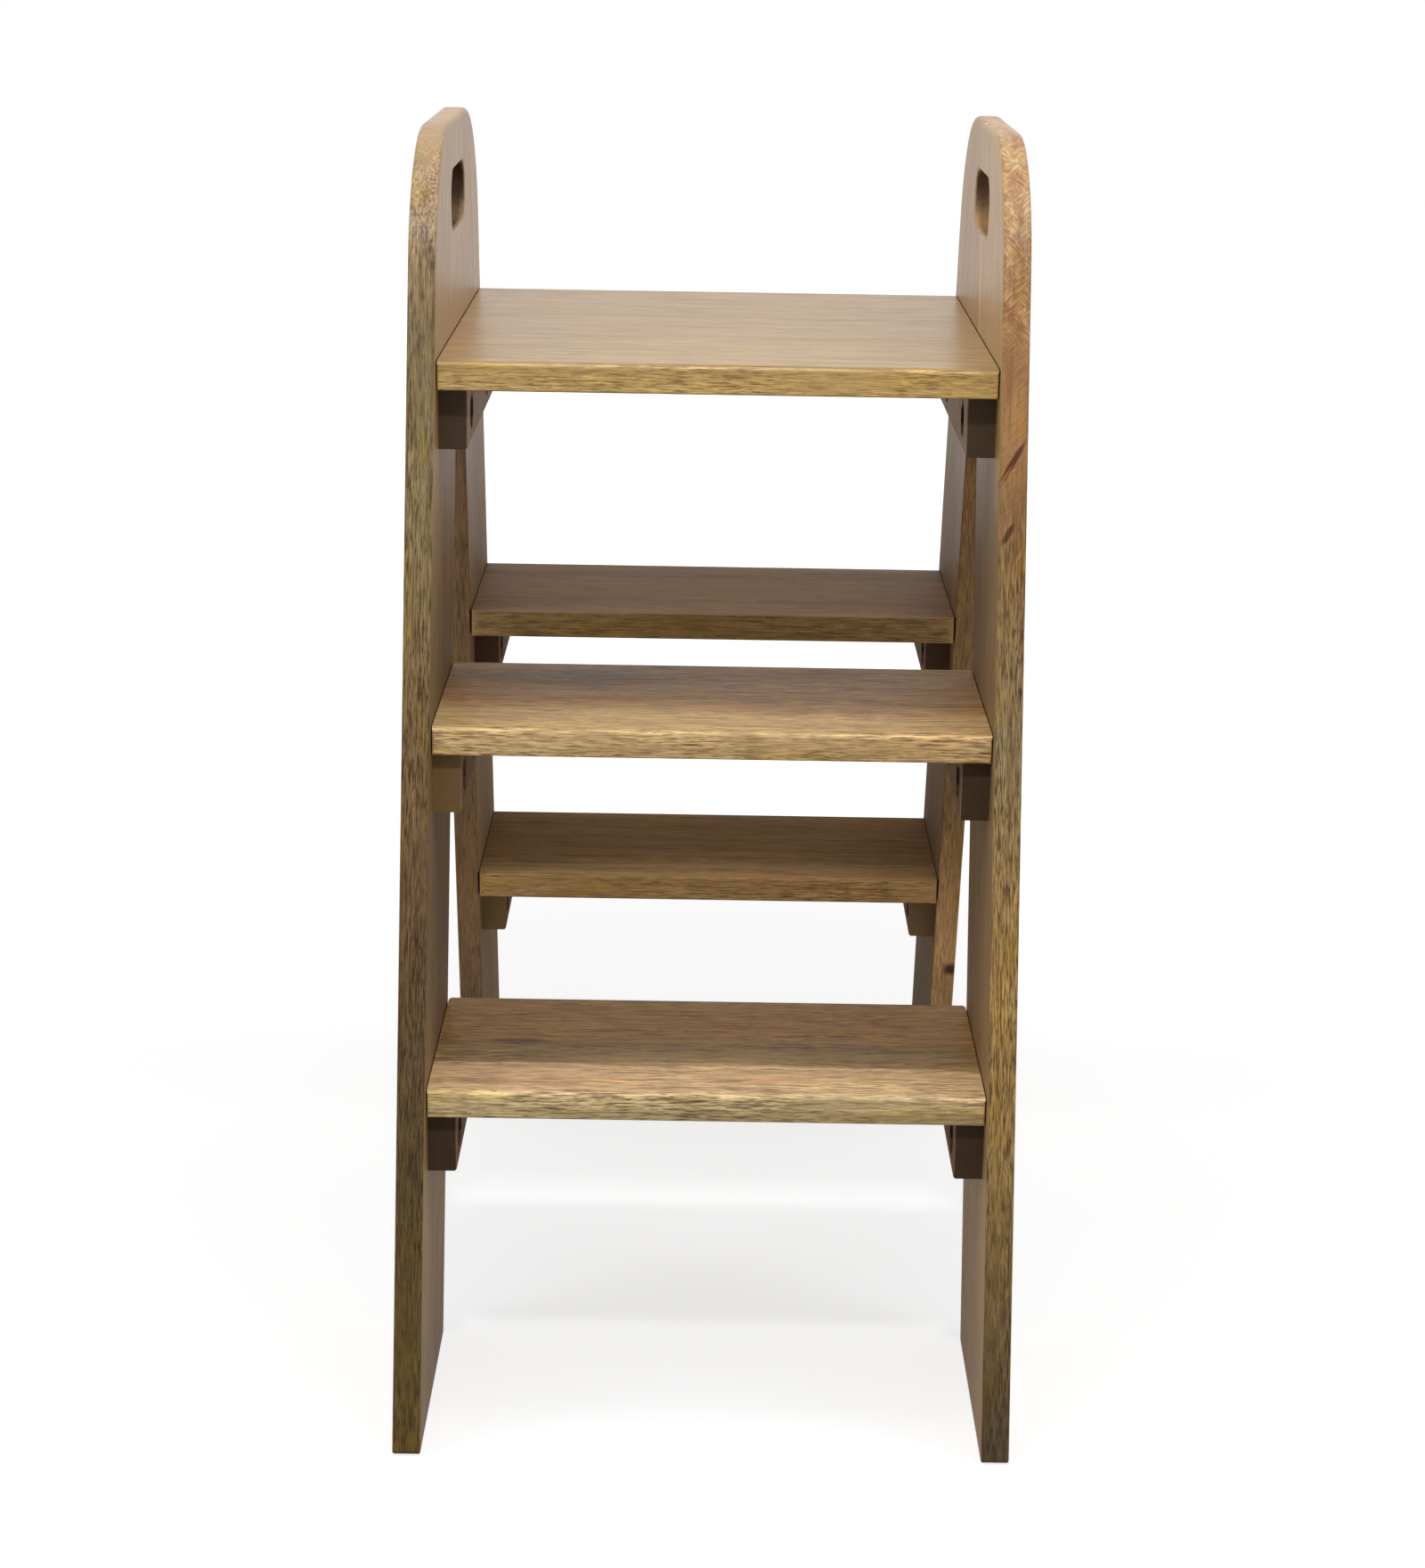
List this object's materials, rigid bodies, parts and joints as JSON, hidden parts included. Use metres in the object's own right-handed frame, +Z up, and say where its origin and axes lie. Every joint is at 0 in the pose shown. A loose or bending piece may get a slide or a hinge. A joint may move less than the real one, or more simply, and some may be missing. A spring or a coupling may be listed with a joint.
{
  "type": "step ladder",
  "caption": "Rigid double-sided wooden step ladder. A-shaped sides with hand-hold slots carry a deep platform and lower treads on cleats, front and rear.",
  "frame": {"origin": "on the floor, in the middle of the ladder's footprint", "axes": "+Z up; +X across the treads, to the right of someone who stands in front; +Y from the front to the rear"},
  "size_m": [0.44, 0.8242, 0.906],
  "materials": {
    "leg_wood": "satin lacquer",
    "tread_wood": "satin lacquer",
    "cleat_wood": "satin lacquer",
    "dowel_wood": "bare",
    "washer_steel": "dark zinc plate",
    "screw_steel": "dark zinc plate"
  },
  "bodies": {
    "root": {"front_bottom_tread": "tread_wood", "front_middle_tread": "tread_wood", "left_coach_screws": "screw_steel", "left_front_bottom_cleat": "cleat_wood", "left_front_leg": "leg_wood", "left_front_middle_cleat": "cleat_wood", "left_head_dowels": "dowel_wood", "left_rear_bottom_cleat": "cleat_wood", "left_rear_leg": "leg_wood", "left_rear_middle_cleat": "cleat_wood", "left_top_cleat": "cleat_wood", "left_tread_screws": "screw_steel", "left_washers": "washer_steel", "rear_bottom_tread": "tread_wood", "rear_middle_tread": "tread_wood", "right_coach_screws": "screw_steel", "right_front_bottom_cleat": "cleat_wood", "right_front_leg": "leg_wood", "right_front_middle_cleat": "cleat_wood", "right_head_dowels": "dowel_wood", "right_rear_bottom_cleat": "cleat_wood", "right_rear_leg": "leg_wood", "right_rear_middle_cleat": "cleat_wood", "right_top_cleat": "cleat_wood", "right_tread_screws": "screw_steel", "right_washers": "washer_steel", "top_tread": "tread_wood"}
  },
  "joints": []
}
